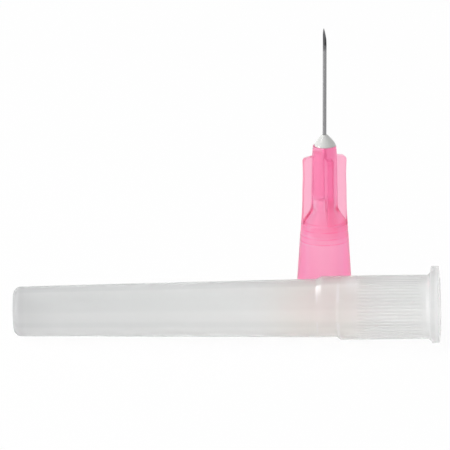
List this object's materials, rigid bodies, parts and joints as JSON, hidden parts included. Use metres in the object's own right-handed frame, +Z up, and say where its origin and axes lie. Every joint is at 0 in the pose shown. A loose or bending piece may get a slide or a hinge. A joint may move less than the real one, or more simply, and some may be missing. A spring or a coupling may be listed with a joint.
{
  "type": "hypodermic needle",
  "caption": "Hypodermic needle: a bevelled steel cannula glued in a pink finned hub with a conical lock socket, standing behind its frosted cap, which lies taken off.",
  "frame": {"origin": "centre of the mouth of the hub's conical socket, in the plane that the hub stands on", "axes": "+Z up along the cannula to its point, +X along the lying cap towards its mouth, -Y towards the side on which the cap lies"},
  "size_m": [0.0521, 0.018, 0.0367],
  "materials": {
    "cannula_steel": "drawn stainless steel, ground at the point",
    "hub_plastic": "translucent pink moulded polypropylene",
    "adhesive": "cured white epoxy",
    "cap_plastic": "frosted natural moulded polypropylene"
  },
  "bodies": {
    "root": {"cannula": "cannula_steel", "hub": "hub_plastic", "adhesive_bead": "adhesive", "cap": "cap_plastic"}
  },
  "joints": []
}
